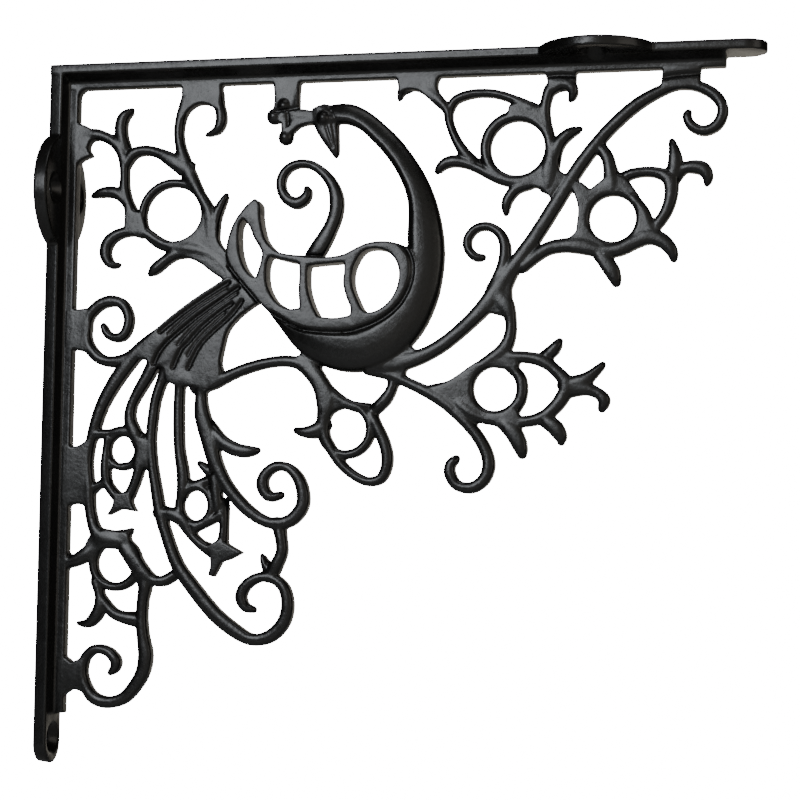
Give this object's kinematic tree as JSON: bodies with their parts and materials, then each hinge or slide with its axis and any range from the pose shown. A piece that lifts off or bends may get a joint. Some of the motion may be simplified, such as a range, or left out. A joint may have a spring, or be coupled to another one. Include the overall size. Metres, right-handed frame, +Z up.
{
  "type": "ornamental shelf bracket",
  "caption": "Right-angled iron shelf bracket, its web an open fretwork of a long-tailed bird among scrolling branches and rings, with round screw lugs on both arms.",
  "frame": {"origin": "on the wall face of the upright arm, in the middle of its width, at the middle of the round wall lug, 41 mm below the shelf face", "axes": "+X out from the wall along the shelf arm, +Z up, and Y across the bracket's thickness, with the bird's raised side towards -Y"},
  "size_m": [0.23, 0.0374, 0.225],
  "materials": {
    "black_enamel": "black stove enamel over cast iron, satin with soft highlights on the raised edges"
  },
  "bodies": {
    "root": {"bracket": "black_enamel"}
  },
  "joints": []
}
